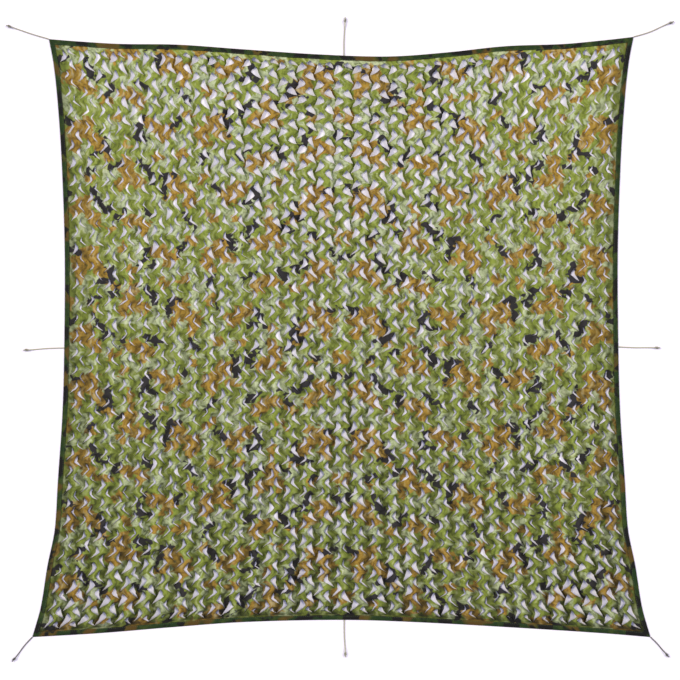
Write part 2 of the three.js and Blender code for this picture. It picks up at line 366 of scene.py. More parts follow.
# %% [markdown]
# The gaps don't all open alike. Near the middle of the far edge the pull is greatest and
# they gape to rounded triangles; towards the sides and the near edge the tongue of cloth
# still fills most of each one, and only a bent sliver shows. A few soft spots say where, a
# slow ripple makes the pull come and go in patches, and each gap then differs a little from
# its neighbours.

# %% How far each gap opens
# (across, down, reach across, reach down, how much further open), in shares of the square
PULLED_OPEN = [
    (0.48, 0.09, 0.30, 0.24, 1.15),
    (0.50, 0.02, 0.50, 0.09, 0.30),
    (0.50, 0.01, 0.70, 0.04, 0.60),
    (0.50, 0.50, 0.20, 0.80, 0.33),
    (0.06, 0.97, 0.12, 0.09, 0.80),
    (0.94, 0.95, 0.12, 0.11, 0.80),
    (0.50, 0.97, 0.50, 0.06, 0.20),
    (0.50, 0.86, 0.60, 0.28, 0.20),
]
RIPPLES = [(4.3, 5.1, 0.3), (2.7, 3.4, 1.9), (6.1, 2.2, 4.0)]  # waves across, waves down, start
RIPPLE_DEPTH = 0.15
OPEN_EVERYWHERE = 0.02
OPEN_SPREAD = 0.22
WIDEST = 1.35  # past 1 the tongue is pulled right back, and the gap is a blunt round hole


def openness(across, down):
    """From 0, a bent sliver, to 1, a rounded triangle, at places on the flat square."""
    u, v = across / FLAT_SIDE, down / FLAT_SIDE
    total = np.full(u.shape, OPEN_EVERYWHERE)
    for au, av, ru, rv, more in PULLED_OPEN:
        total += more * np.exp(-(((u - au) / ru) ** 2) - ((v - av) / rv) ** 2)
    for waves_across, waves_down, start in RIPPLES:
        ripple = np.sin(2 * math.pi * waves_across * u + start)
        ripple = ripple * np.sin(2 * math.pi * waves_down * v + 2 * start)
        total += RIPPLE_DEPTH * ripple
    return total.clip(0)


# %% [markdown]
# A gap's right side is the cut's full curve, from its top point round to its tail. Its left
# side is the edge of the tongue, which bends over a notch. The strips twist: the tongue
# stands proud, and the far side of the gap lies close to the floor.

# %% One gap's outline
# (across, up) from the cell's middle and the height of the cloth's underside there, in mm
CUT_SIDE = [(1, 36, 9), (9, 26, 6), (16, 15, 4), (21, 4, 3), (10, -8, 4), (-6, -20, 6), (-24, -32, 9)]
NOTCH_SHUT = (11, 5)
NOTCH_OPEN = (-9, 3)
TONGUE_LIFT = (12, 15, 17, 16, 13)  # up the tongue's edge, from the tail to the top
TONGUE_PLACES = ((0.36, "tail"), (0.7, "tail"), (1.0, "top"), (0.66, "top"), (0.34, "top"))
GAP_POINTS = len(CUT_SIDE) + len(TONGUE_PLACES)


def gap_outline(opened):
    """Each gap's (across, up, lift) points, clockwise from its top. opened has one share a gap."""
    rings = np.empty((len(opened), GAP_POINTS, 3))
    rings[:, : len(CUT_SIDE)] = CUT_SIDE
    top, tail = np.array(CUT_SIDE[0][:2], float), np.array(CUT_SIDE[-1][:2], float)
    notch = np.outer(1 - opened, NOTCH_SHUT) + np.outer(opened, NOTCH_OPEN)
    for i, ((share, end), lift) in enumerate(zip(TONGUE_PLACES, TONGUE_LIFT)):
        start = tail if end == "tail" else top
        rings[:, len(CUT_SIDE) + i, :2] = start * (1 - share) + notch * share
        rings[:, len(CUT_SIDE) + i, 2] = lift
    return rings


# %% Every cell, and how high its cloth stands
SHUT_RELIEF, OPEN_RELIEF, LOW_RELIEF = 0.33, 0.74, 0.6  # shut, more when open, more lower down


def cell_ends(column):
    """The steps down a column's lines where its cells meet, from the far edge to the near one."""
    first = HALF_STEPS if column % 2 else SIDE_STEPS
    return [0, *range(first, side_count - 1, SIDE_STEPS), side_count - 1]


def all_cells():
    """Column, first step, steps, and middle (across, down) of every cell, half ones too."""
    found = []
    for column in range(COLUMNS):
        across = MARGIN + (column + 0.5) * column_width
        ends = cell_ends(column)
        for first, last in zip(ends, ends[1:]):
            found.append((column, first, last - first, across, (line_down[first] + line_down[last]) / 2))
    return np.array(found)


def standing(opened, down):
    """How much relief the cloth has: the wider a gap is pulled, the higher its sides stand."""
    return SHUT_RELIEF + OPEN_RELIEF * opened + LOW_RELIEF * down / FLAT_SIDE


cells = all_cells()
is_half = cells[:, 2] == HALF_STEPS
lean = np.where(cells[:, 0] % 2 == 0, 1, -1)
print("cells:", len(cells), "- half cells:", int(is_half.sum()))

# %% [markdown]
# Every gap is the same drawing, made a little larger or smaller, turned and moved by chance.
# A half cell at the top or bottom edge gets a shorter gap, and beside the tape the gaps are
# narrower. A gap pulled past a triangle loses height and turns blunt.

# %% Every gap's points
HALF_GAP = (0.9, 0.56)  # a half cell's gap is this much narrower and shorter
SIDE_GAP, SIDE_SHIFT = 0.88, 3  # beside the tape a gap is narrower, and further from it
BLUNTING = 0.8  # how fast a gap loses height as it turns into a round hole
SHUT_SIZE, SIZE_GAIN, SIZE_SPREAD, SIZE_LIMITS = 0.93, 0.17, 0.07, (0.78, 1.18)
TURN_SPREAD, MOST_TURN = math.radians(6), math.radians(10)
GAP_NUDGE, POINT_NUDGE = 1.5, 1.4  # how far chance moves a gap, and each point of it
RELIEF_SPREAD, RELIEF_LIMITS = 0.22, (0.5, 1.4)

opened = openness(cells[:, 3], cells[:, 4]) + rng.normal(0, OPEN_SPREAD, len(cells))
opened = np.clip(opened, 0, WIDEST)
rings = gap_outline(opened)
rings[:, :, 1] *= 1 - BLUNTING * (opened - 1).clip(0)[:, None]

size = SHUT_SIZE + SIZE_GAIN * opened + rng.normal(0, SIZE_SPREAD, len(cells))
size = size.clip(*SIZE_LIMITS)[:, None]
turn = rng.normal(0, TURN_SPREAD, len(cells)).clip(-MOST_TURN, MOST_TURN)
nudge = rng.normal(0, GAP_NUDGE, (len(cells), 1, 2))
relief = rng.normal(1, RELIEF_SPREAD, (len(cells), 1)).clip(*RELIEF_LIMITS)
relief = relief * standing(opened, cells[:, 4])[:, None]
flat_rings = rings[:, :, :2] * size[:, :, None]
cos, sin = np.cos(turn)[:, None], np.sin(turn)[:, None]
turned = np.stack([flat_rings[..., 0] * cos - flat_rings[..., 1] * sin,
                   flat_rings[..., 0] * sin + flat_rings[..., 1] * cos], -1)
turned += nudge + rng.normal(0, POINT_NUDGE, turned.shape)
turned[is_half] *= HALF_GAP
beside_tape = (cells[:, 0] == 0) | (cells[:, 0] == COLUMNS - 1)
turned[beside_tape] = turned[beside_tape] * (SIDE_GAP, 1) + (SIDE_SHIFT, 0)
gaps = np.stack([cells[:, 3, None] + lean[:, None] * turned[..., 0],
                 cells[:, 4, None] - turned[..., 1]], -1)
gap_lift = rings[:, :, 2] * relief
print("gaps cut:", len(cells), "- mean openness", opened.mean().round(2))

# %% [markdown]
# The strips between columns stand by turns as a ridge, where both gaps beside them lie low,
# and as a valley, where two tongues stand proud on either side. All points of the sheet are
# then known: the lines between the columns, the middles of the cells' top and bottom edges,
# the gaps' outlines and two loops of plain margin.

# %% Numbering the points
RIDGE, VALLEY, LINE_SPREAD = 11, 2, 1.2
BRIDGE, BRIDGE_SPREAD = 7, 0.8  # between a gap and the next one in its column
RIM_LIFT = 2.5  # beside the tape
LOWEST_LINE, LOWEST_GAP, HIGHEST = 0.3, 0.4, 21
flat_places, lifts = [], []


def add_points(across, down, lift):
    """Adds points to the sheet and gives their numbers, in the shape of across."""
    across, down, lift = np.broadcast_arrays(across, down, lift)
    first = sum(map(len, lifts))
    flat_places.append(np.stack([across.ravel(), down.ravel()], 1))
    lifts.append(lift.ravel())
    return first + np.arange(across.size).reshape(across.shape)


line_lift = np.where(np.arange(COLUMNS + 1) % 2 == 1, RIDGE, VALLEY)[:, None]
line_lift = line_lift + rng.normal(0, LINE_SPREAD, line_across.shape)
line_lift *= standing(openness(line_across, line_down), line_down)
line_lift[[0, -1]] = line_lift[:, [0, -1]] = RIM_LIFT
line_numbers = add_points(line_across, line_down[None, :], line_lift.clip(LOWEST_LINE, HIGHEST))

middle_numbers = {}
for column in range(COLUMNS):
    ends = cell_ends(column)
    across = (line_across[column, ends] + line_across[column + 1, ends]) / 2
    lift = BRIDGE + rng.normal(0, BRIDGE_SPREAD, len(ends))
    for end, number in zip(ends, add_points(across, line_down[ends], lift)):
        middle_numbers[column, end] = number

places = np.concatenate(flat_places)
print("points between the gaps:", len(places))


# %% The belt of triangles round a gap
LEAST_AREA = 0.4  # twice the area of the smallest triangle allowed


def outer_ring(column, first, steps):
    """The numbers of a cell's outer points from the middle of its top edge, the way its gap runs."""
    left, right = line_numbers[column], line_numbers[column + 1]
    last = first + steps
    ring = [
        middle_numbers[column, first], *right[first : last + 1],
        middle_numbers[column, last], *left[first : last + 1][::-1],
    ]
    return [ring[0], *ring[:0:-1]] if column % 2 else ring


def belt(outer, inner):
    """Triangles between two rings of places, as numbers in outer + inner, by shortest bridge."""
    outer, inner = [Vector(p) for p in outer], [Vector(p) for p in inner]
    i = j = 0
    faces = []
    while i < len(outer) or j < len(inner):
        a, b = outer[i % len(outer)], inner[j % len(inner)]
        next_a, next_b = outer[(i + 1) % len(outer)], inner[(j + 1) % len(inner)]
        here, there = i % len(outer), len(outer) + j % len(inner)
        if j == len(inner) or (i < len(outer) and (next_a - b).length < (next_b - a).length):
            faces.append((here, (i + 1) % len(outer), there))
            i += 1
        else:
            faces.append((here, len(outer) + (j + 1) % len(inner), there))
            j += 1
    return np.array(faces)


def twice_area(corners):
    """Twice the signed area of triangles, from the places of their three corners."""
    one, two = corners[..., 1, :] - corners[..., 0, :], corners[..., 2, :] - corners[..., 0, :]
    return one[..., 0] * two[..., 1] - one[..., 1] * two[..., 0]


def crossed(outer, own, faces):
    """For each of these cells and each triangle of the belt: is it turned over, or nearly flat?"""
    areas = twice_area(np.concatenate([outer, gaps[own]], 1)[:, faces]) * lean[own, None]
    return areas * np.sign(np.median(areas)) < LEAST_AREA


# %% [markdown]
# All cells with the same number of steps use the same belt. Chance moves the gaps' corners
# about, so a belt that suits one cell may fold through itself in another. Looking for such
# cells by eye would take long, but a triangle's signed area turns negative when it is turned
# over. So several belts are tried, and the one that crosses itself in the fewest cells is
# kept. Where it still does, the gap's points are drawn in a little, again and again.

# %% Choosing the belt, and keeping every gap inside its cell
BELTS_TRIED = 60
DRAWN_IN = 0.97
POINT_ROUNDS, MOST_ROUNDS = 20, 50  # after the first so many, the whole gap shrinks
patterns = {}
for steps in (SIDE_STEPS, HALF_STEPS):
    own = np.flatnonzero(cells[:, 2] == steps)
    outer = places[[outer_ring(*cells[i, :3].astype(int)) for i in own]]
    samples = np.linspace(0, len(own) - 1, BELTS_TRIED).astype(int)
    tried = [belt(outer[k], gaps[own[k]]) for k in samples]
    faults = [int(crossed(outer, own, faces).any(1).sum()) for faces in tried]
    pattern = patterns[steps] = tried[int(np.argmin(faults))]
    # uses[t, g]: does triangle t stand on gap point g?
    uses = (pattern[:, :, None] == outer.shape[1] + np.arange(GAP_POINTS)).any(1)
    counts = []
    for number in range(MOST_ROUNDS):
        wrong = crossed(outer, own, pattern)
        counts.append(int(wrong.any(1).sum()))
        if not counts[-1]:
            break
        heart = outer.mean(1, keepdims=True)
        moved = (wrong[:, :, None] & (uses | (number >= POINT_ROUNDS))).any(1)
        gaps[own] = np.where(moved[..., None], heart + (gaps[own] - heart) * DRAWN_IN, gaps[own])
    print(len(own), "cells with", steps, "steps and", len(pattern), "triangles; crossed:", *counts)

gap_numbers = add_points(gaps[..., 0], gaps[..., 1], gap_lift.clip(LOWEST_GAP, HIGHEST))
places = np.concatenate(flat_places)
print("points on one face of the sheet:", len(places))

# %% All triangles of the sheet
TAPED_LIFT = 1.7  # the cloth's underside between the two layers of tape
triangles = []
for number, (column, first, steps) in enumerate(cells[:, :3].astype(int)):
    numbers = np.array([*outer_ring(column, first, steps), *gap_numbers[number]])
    triangles.append(numbers[patterns[steps]])


def border():
    """The numbers of the points round the whole lattice, in order."""
    def edge(start):
        pairs = [(line_numbers[c, start], middle_numbers[c, start]) for c in range(COLUMNS)]
        return [n for pair in pairs for n in pair] + [line_numbers[COLUMNS, start]]

    top, bottom = edge(0), edge(side_count - 1)
    return top[:-1] + list(line_numbers[-1, :-1]) + bottom[:0:-1] + list(line_numbers[0, :0:-1])


loop = rim = np.array(border())
for reach in (FLAT_MARGIN, NET_EDGE):
    share = (FLAT_SIDE / 2 - reach) / (FLAT_SIDE / 2 - MARGIN)
    out = (places[rim] - FLAT_SIDE / 2) * share + FLAT_SIDE / 2
    next_loop = add_points(out[:, 0], out[:, 1], TAPED_LIFT)
    a, b = loop, np.roll(loop, -1)
    c, d = np.roll(next_loop, -1), next_loop
    triangles += [np.stack([a, b, c], 1), np.stack([a, c, d], 1)]
    loop = next_loop
triangles = np.concatenate(triangles)
places, lifts = np.concatenate(flat_places), np.concatenate(lifts)
print("triangles on one face:", len(triangles))

# %% [markdown]
# The sheet so far is a single skin. Real cloth has two faces and a cut edge, so the skin is
# copied 1 mm higher, and every edge that only one triangle uses gets a wall. Blender's
# Solidify modifier does the same along the normals; doing it straight up keeps the gaps'
# shapes exactly as cut.

# %% Two faces and a cut edge
CLOTH_THICK = 1.0
FLAT_AREA = 0.05  # twice the area of a triangle too thin to shade well
PULL, PULL_MIDDLE, PULL_LENGTH = 45, 1400, 2600  # how far, and the middle and length of the wave
PULL_DOWN, PULL_REACH = 0.15, 0.25  # where it is greatest, and how far it reaches, in shares
SAG = 30  # the rows of gaps hang this much lower at the sides than in the middle
SAG_SHAPE = 0.8  # below 1, the sag is greatest above the middle


def closed_sheet(xyz, faces, thick):
    """A skin's points and upward triangles made into a closed sheet of that thickness."""
    count = len(xyz)
    upper = xyz + np.array([0, 0, thick])
    edges = np.concatenate([faces[:, [0, 1]], faces[:, [1, 2]], faces[:, [2, 0]]])
    keys = edges[:, 0] * count + edges[:, 1]
    open_edge = ~np.isin(edges[:, 1] * count + edges[:, 0], keys)
    start, end = edges[open_edge].T
    walls = [np.stack([start, end, end + count], 1), np.stack([start, end + count, start + count], 1)]
    return np.concatenate([xyz, upper]), np.concatenate([faces + count, faces[:, ::-1], *walls])


def facing_up(xyz, faces):
    """The faces, each turned so that its normal points up."""
    area = twice_area(xyz[faces, :2])
    down, flat = area < 0, abs(area) < FLAT_AREA
    print("triangles turned to face up:", int(down.sum()), "- flat ones:", int(flat.sum()))
    return np.where(down[:, None], faces[:, ::-1], faces)


def pulled(across, down):
    """Places on the flat square once the ropes have widened the cloth and its rows have sagged."""
    v = down / FLAT_SIDE
    edge_free = np.sin(np.pi * across / FLAT_SIDE)
    along = np.sin(2 * math.pi * (across - PULL_MIDDLE) / PULL_LENGTH)
    wider = PULL * along * edge_free * np.exp(-((v - PULL_DOWN) / PULL_REACH) ** 2)
    lower = SAG * np.sin(np.pi * v.clip(0, 1) ** SAG_SHAPE) * (1 - edge_free.clip(0, 1))
    return across + wider, down + lower


skin = np.column_stack([stretched(*pulled(*places.T)), lifts])
sheet_points, sheet_faces = closed_sheet(skin, facing_up(skin, triangles), CLOTH_THICK)
net = piece("printed_net", sheet_points, sheet_faces)
print("net:", len(sheet_faces), "triangles")

# %% [markdown]
# ## The print
#
# The cloth is printed in four colours with a woodland pattern of the common kind: two
# greens as the ground, chunky brown pads, and thin black twigs with short spurs. It is a
# small repeat, a block of 750 by 640 mm, charted as slanting ovals. Each block is
# printed as a mirror image of the one beside it, and set half a block lower.
#
# A print could be drawn as an image. Here each point of the cloth stores how deep it lies
# inside the nearest oval, in millimetres. The material reads that depth, adds some noise to
# it and cuts it at zero, which gives torn, organic edges at any scale. The folds hide some
# of the print, so where a point looks its print up jumps a few millimetres from its place.

# %% The repeat, in millimetres: (across, down, long, wide, turn in degrees)
REPEAT_WIDTH, REPEAT_HEIGHT = 750, 640
BROWN_PADS = [
    (110, 100, 175, 88, 25), (195, 165, 145, 76, -50), (85, 185, 105, 60, 75), (250, 240, 90, 50, -40),
    (520, 85, 140, 72, -20), (595, 125, 120, 64, 35),
    (355, 300, 150, 78, 65), (412, 362, 125, 70, -15), (318, 378, 80, 50, -70),
    (640, 390, 185, 84, -40), (712, 462, 135, 76, 60), (590, 450, 85, 50, 10),
    (95, 485, 150, 76, 30), (160, 540, 125, 68, -35),
    (385, 565, 145, 68, -10), (450, 605, 95, 58, 45),
    (665, 235, 85, 50, 15), (370, 175, 75, 44, -60), (25, 320, 85, 46, 80), (150, 345, 75, 42, -20),
    (540, 245, 75, 42, 10), (265, 600, 75, 42, 15), (705, 30, 80, 44, -45), (320, 45, 70, 42, 30),
]
BLACK_TWIGS = [
    (250, 180, 125, 38, -70), (215, 225, 90, 32, 10), (60, 70, 90, 32, -20),
    (440, 110, 130, 38, 65), (470, 155, 85, 32, -10), (650, 80, 90, 34, 50),
    (460, 290, 125, 38, -40), (500, 335, 90, 32, 70), (290, 285, 80, 32, 20),
    (570, 385, 120, 38, 80), (590, 335, 80, 32, -10), (150, 320, 75, 30, 30),
    (190, 455, 125, 38, -60), (235, 495, 80, 32, 0), (30, 425, 85, 32, 40),
    (305, 540, 110, 36, 55), (480, 535, 105, 36, -30), (700, 570, 100, 34, -50),
]
DEEPEST, FURTHEST = 40, -40  # depths are kept within this, in mm


def in_repeat(across, down):
    """Where places on the flat square fall in the repeat."""
    from_middle = abs(across - FLAT_SIDE / 2)
    block = np.floor(from_middle / REPEAT_WIDTH)
    within = from_middle % REPEAT_WIDTH
    mirrored = np.where(block % 2 == 0, within, REPEAT_WIDTH - within)
    return mirrored, (down + block * REPEAT_HEIGHT / 2) % REPEAT_HEIGHT


def depth_in(ovals, across, down):
    """How deep each place lies inside the nearest oval; below zero outside them all."""
    x, y = in_repeat(across, down)
    deepest = np.full(x.shape, float(FURTHEST))
    for centre_x, centre_y, long, wide, turn in ovals:
        dx = (x - centre_x + REPEAT_WIDTH / 2) % REPEAT_WIDTH - REPEAT_WIDTH / 2
        dy = (centre_y - y + REPEAT_HEIGHT / 2) % REPEAT_HEIGHT - REPEAT_HEIGHT / 2
        c, s = math.cos(math.radians(turn)), math.sin(math.radians(turn))
        share = np.hypot((dx * c + dy * s) / (long / 2), (dy * c - dx * s) / (wide / 2))
        deepest = np.maximum(deepest, (1 - share) * wide / 2)
    return np.minimum(deepest, DEEPEST)


# %% Storing it on the cloth
def store(made, name, values):
    """Keeps one number, or one (x, y, z), for each point of a mesh, under a name."""
    values = np.asarray(values, np.float32)
    kind, field = ("FLOAT", "value") if values.ndim == 1 else ("FLOAT_VECTOR", "vector")
    attribute = made.data.attributes.new(name, kind, "POINT")
    attribute.data.foreach_set(field, values.ravel())


def store_print(made, across, down, jump):
    """Each point's flat place, the place its print comes from, and its depth in both inks."""
    level = np.zeros(len(across))
    store(made, "flat_place", np.column_stack([across, -down, level]))
    across, down = across + jump[:, 0], down + jump[:, 1]
    store(made, "print_place", np.column_stack([across, -down, level]))
    store(made, "brown_depth", depth_in(BROWN_PADS, across, down))
    store(made, "black_depth", depth_in(BLACK_TWIGS, across, down))


def both_faces(values):
    """The values of the skin's points, for the sheet's lower and upper face."""
    return np.concatenate([values, values])


FOLD_JUMP = 8
jump = rng.normal(0, FOLD_JUMP, (len(places), 2))
store_print(net, *both_faces(places).T, both_faces(jump))
print("share in brown:", round(float((depth_in(BROWN_PADS, *places.T) > 0).mean()), 2))
print("share in black:", round(float((depth_in(BLACK_TWIGS, *places.T) > 0).mean()), 2))

# %% [markdown]
# Cloth that is folded together or lies in a hollow is in shade, and that shade is painted
# into the colour. Each point stores it as a share: most in the valleys and beside the top of
# each gap, more towards the near edge, and most of all along the tape.

# %% Painted shade in the folds and beside the tape, and where the creases run
# Painted shade, as a share: on plain cloth, on the bridges between gaps and in the valleys.
PLAIN_FOLD, BRIDGE_FOLD, VALLEY_FOLD = 0.1, 0.4, 0.55
GAP_FOLD = (0.95, 0.5, 0.15, 0.1, 0.15, 0.4, 0.8, 0.5, 0.3, 0.35, 0.75, 1.0)  # round a gap
VALLEY_CHANCE, GAP_CHANCE = (0.5, 1.2), (0.6, 1.25)
FAR_FOLD, FOLD_GAIN = 0.2, 1.25  # the share of that at the far edge, and what the near one adds
# Painted shade beside the tape: how much at the very edge, and over how many millimetres it fades.
SIDE_EDGE_SHADE, NEAR_EDGE_SHADE, FAR_EDGE_SHADE = (1.05, 48), (1.3, 28), (0.8, 12)

from_left, from_far = places.T
valley_numbers = line_numbers[2:-1:2]
painted_fold_shade = np.full(len(places), PLAIN_FOLD)
painted_fold_shade[valley_numbers] = VALLEY_FOLD * rng.uniform(*VALLEY_CHANCE, valley_numbers.shape)
painted_fold_shade[list(middle_numbers.values())] = BRIDGE_FOLD
painted_fold_shade[gap_numbers] = np.array(GAP_FOLD) * rng.uniform(*GAP_CHANCE, gap_numbers.shape)
painted_fold_shade *= FAR_FOLD + FOLD_GAIN * from_far / FLAT_SIDE
from_side = np.minimum(from_left, FLAT_SIDE - from_left)
painted_shade = ((SIDE_EDGE_SHADE, from_side), (NEAR_EDGE_SHADE, FLAT_SIDE - from_far), (FAR_EDGE_SHADE, from_far))
for (most, reach), distance in painted_shade:
    painted_fold_shade += most * np.exp(-distance / reach)
painted_fold_shade = painted_fold_shade.clip(0, 1)
store(net, "painted_fold_shade", both_faces(painted_fold_shade))

# Along a strip: the same place with the zigzag taken out, so that creases can follow the strip.
STRAIGHTENED = 14
CREASE_WIDTH, CREASE_LENGTH = 20.0, 60.0
phase = 2 * math.pi * (from_far - MARGIN - cell_height / 2 + ZIGZAG_SHIFT) / cell_height
strip_place = np.column_stack([(from_left - STRAIGHTENED * np.cos(phase)) / CREASE_WIDTH,
                               -from_far / CREASE_LENGTH, np.zeros(len(places))])
store(net, "strip_place", both_faces(strip_place))
print("mean shade in the folds:", round(float(painted_fold_shade.mean()), 2))

# %% [markdown]
# ## Colours and nodes
#
# Colours are written as they look on a screen, in sRGB hex, and one function turns them into
# the linear numbers that Blender wants. Another adds a node with its settings and its links,
# and gives back the output that the next node needs, so that a material reads from top to
# bottom like a recipe. Most steps of such a recipe lay one dye over another wherever some
# pattern is strong, so that step has a function as well.

# %% Helpers for materials
def linear(colour):
    """An sRGB hex colour as linear red, green, blue and alpha."""
    parts = [int(colour[i : i + 2], 16) / 255 for i in (1, 3, 5)]
    return [p / 12.92 if p <= 0.04045 else ((p + 0.055) / 1.055) ** 2.4 for p in parts] + [1]


def add(tree, kind, inputs=None, output=0, **settings):
    """A new node's output. inputs gives each socket a value, or the socket that feeds it."""
    node = tree.nodes.new(kind)
    for name, value in settings.items():
        setattr(node, name, value)
    for name, value in (inputs or {}).items():
        if isinstance(value, bpy.types.NodeSocket):
            tree.links.new(value, node.inputs[name])
        else:
            node.inputs[name].default_value = value
    return node.outputs[output]


def new_material(name, **sockets):
    """A material whose surface shader has these fixed values, with its tree and shader."""
    material = bpy.data.materials.new(name)
    material.use_nodes = True
    tree = material.node_tree
    shader = tree.nodes["Principled BSDF"]
    for socket, value in sockets.items():
        shader.inputs[socket.replace("_", " ")].default_value = value
    return material, tree, shader


def dyed(tree, under, over, pattern, low=0, high=1, most=1, way="MIX"):
    """The colour over laid on the one under: none where the pattern is low, most where high."""
    inputs = {"Value": pattern, "From Min": low, "From Max": high, "To Max": most}
    factor, first, second, mixed = 0, 6, 7, 2  # the sockets that a colour mix uses
    inputs = {factor: add(tree, "ShaderNodeMapRange", inputs), first: under, second: over}
    return add(tree, "ShaderNodeMix", inputs, mixed, data_type="RGBA", blend_type=way)


# %% [markdown]
# ## Printed polyester cloth
#
# The net is thin plain-weave polyester, coated on the back and rotary-printed. That gives the
# eye a matt face with a faint sheen at a low angle, colours with soft torn edges, and ink
# that is a little uneven. The yarns are 0.4 mm apart, far too fine for this picture, so the
# weave is drawn at 4 mm and kept faint. Creases about 60 mm long run along the strips, as a
# bump and as painted shade and painted highlights in the colour.

# %% The cloth's finish
YARN_SPACING = 4.0
WAVE_SCALE = 2 * math.pi / 20 / YARN_SPACING  # a wave texture's scale for one wave a yarn
PATCH_SIZE, SHADE_SIZE, TEAR_SIZE = 75.0, 18.0, 34.0
EDGE_TEAR = 34.0  # how far noise moves the edge of a printed colour
EDGE_BLUR = 1.4  # ink bleeds this far
GRASS, SAGE, OLIVE = "#84943b", "#b0be93", "#52601a"
BROWN, RUST = "#a0822f", "#6e551b"
BLACK = "#2a292b"
# The colour of painted shade in the folds, multiplied over the print.
FOLD_SHADE_COLOUR = "#565a34"
# Painted shade and painted highlight along the creases.
PAINTED_CREASE_SHADE, PAINTED_CREASE_HIGHLIGHT = "#4f5028", "#e9eccb"
CREASE_DEPTH, YARN_DEPTH = 5, 0.3


def printed(tree, under, ink, depth, tear):
    """Ink where a point lies deep enough in a printed shape, with an edge torn by noise."""
    torn = add(tree, "ShaderNodeMath", {0: tear, 1: EDGE_TEAR, 2: depth}, operation="MULTIPLY_ADD")
    return dyed(tree, under, ink, torn, EDGE_TEAR / 2 - EDGE_BLUR, EDGE_TEAR / 2 + EDGE_BLUR)


def printed_cloth():
    """Four printed colours on matt polyester, with painted shade, creases down the strips that are a
    bump with painted shade and highlights, and a faint weave.
    """
    material, tree, shader = new_material(
        "printed_polyester", Roughness=0.8, Specular_IOR_Level=0.25, Sheen_Weight=0.08)
    place, print_place, strip_place = [
        add(tree, "ShaderNodeAttribute", output="Vector", attribute_name=name)
        for name in ("flat_place", "print_place", "strip_place")]
    brown_depth, black_depth, painted_fold_shade = [
        add(tree, "ShaderNodeAttribute", output="Fac", attribute_name=name)
        for name in ("brown_depth", "black_depth", "painted_fold_shade")]
    patch, shade, tear = [
        add(tree, "ShaderNodeTexNoise", {"Vector": print_place, "Scale": 1 / size, "Detail": detail})
        for size, detail in ((PATCH_SIZE, 1.0), (SHADE_SIZE, 1.5), (TEAR_SIZE, 0.0))]
    crease = add(tree, "ShaderNodeTexNoise", {"Vector": strip_place, "Scale": 1.0, "Detail": 1.5})

    ground = dyed(tree, linear(GRASS), linear(SAGE), patch, 0.53, 0.57)
    ground = dyed(tree, ground, linear(OLIVE), shade, 0.45, 0.7, 0.7)
    brown = dyed(tree, linear(BROWN), linear(RUST), shade, 0.45, 0.7)
    colour = printed(tree, ground, brown, brown_depth, tear)
    # Painted highlights along the creases.
    colour = dyed(tree, colour, linear(PAINTED_CREASE_HIGHLIGHT), crease, 0.46, 0.3, 0.25)
    colour = printed(tree, colour, linear(BLACK), black_depth, tear)
    # Painted shade along the creases.
    colour = dyed(tree, colour, linear(PAINTED_CREASE_SHADE), crease, 0.53, 0.7, 0.6, "MULTIPLY")
    # Painted shade in the folds, the hollows and beside the tape.
    colour = dyed(tree, colour, linear(FOLD_SHADE_COLOUR), painted_fold_shade, way="MULTIPLY")
    tree.links.new(colour, shader.inputs["Base Color"])

    inputs = {"Height": crease, "Distance": -CREASE_DEPTH * MM, "Strength": 0.35}
    creased = add(tree, "ShaderNodeBump", inputs)
    inputs = {"Vector": place, "Scale": WAVE_SCALE}
    warp, weft = [add(tree, "ShaderNodeTexWave", inputs, "Fac", bands_direction=way) for way in "XY"]
    weave = add(tree, "ShaderNodeMath", {0: warp, 1: weft}, operation="MULTIPLY")
    inputs = {"Height": weave, "Distance": YARN_DEPTH * MM, "Strength": 0.5, "Normal": creased}
    tree.links.new(add(tree, "ShaderNodeBump", inputs), shader.inputs["Normal"])
    return material


cloth_finish = printed_cloth()
net.data.materials.append(cloth_finish)
print("cloth nodes:", len(cloth_finish.node_tree.nodes))

# %% [markdown]
# ## The edge tape
#
# A strip of the same cloth, darker and doubled, is folded round each edge of the net and
# stitched through. Its section is a flattened U with a round nose on the outside. The two
# layers aren't dead flat: the seam puckers them, so the upper layer rises and falls by half
# a millimetre and its free edge wanders. The strips are cut at 45 degrees at the corners.

# %% A folded strip along each edge
TAPE_WIDTH = 25
TAPE_THICK = 1.2
TAPE_INSIDE = 3.8  # the underside of the upper layer
MITRE_CLEARANCE = 0.25
TAPE_STEP = 12
NOSE_START = 14  # from here inward the two layers are flat
NOSE_STEPS = 5
PUCKER, PUCKER_WAVE = 0.45, 9  # how high the seam puckers the tape, and how closely
EDGE_WANDER, EDGE_WAVE = 1.1, 37  # how far its free edge wanders, and how closely
STRIP_SHIFT = 5000  # so that no two strips show the same stretch of dye

TO_SQUARE = {
    "top": lambda along, inward: (along, inward),
    "bottom": lambda along, inward: (along, FLAT_SIDE - inward),
    "left": lambda along, inward: (inward, along),
    "right": lambda along, inward: (FLAT_SIDE - inward, along),
}


def tape_section():
    """(inward, height) round the strip: under, nose, over, and back along its inside."""
    top = TAPE_INSIDE + TAPE_THICK
    middle, outer, inner = top / 2, top / 2, TAPE_INSIDE / 2 - TAPE_THICK / 2
    angles = np.linspace(-math.pi / 2, -3 * math.pi / 2, NOSE_STEPS)
    nose = [(outer + outer * math.cos(a), middle + outer * math.sin(a)) for a in angles]
    hollow = [(outer + inner * math.cos(a), middle + inner * math.sin(a)) for a in angles[::-1]]
    return np.array([
        (TAPE_WIDTH, 0), (NOSE_START, 0), *nose, (NOSE_START, top), (TAPE_WIDTH, top),
        (TAPE_WIDTH, TAPE_INSIDE), (NOSE_START, TAPE_INSIDE), *hollow,
        (NOSE_START, TAPE_THICK), (TAPE_WIDTH, TAPE_THICK),
    ])


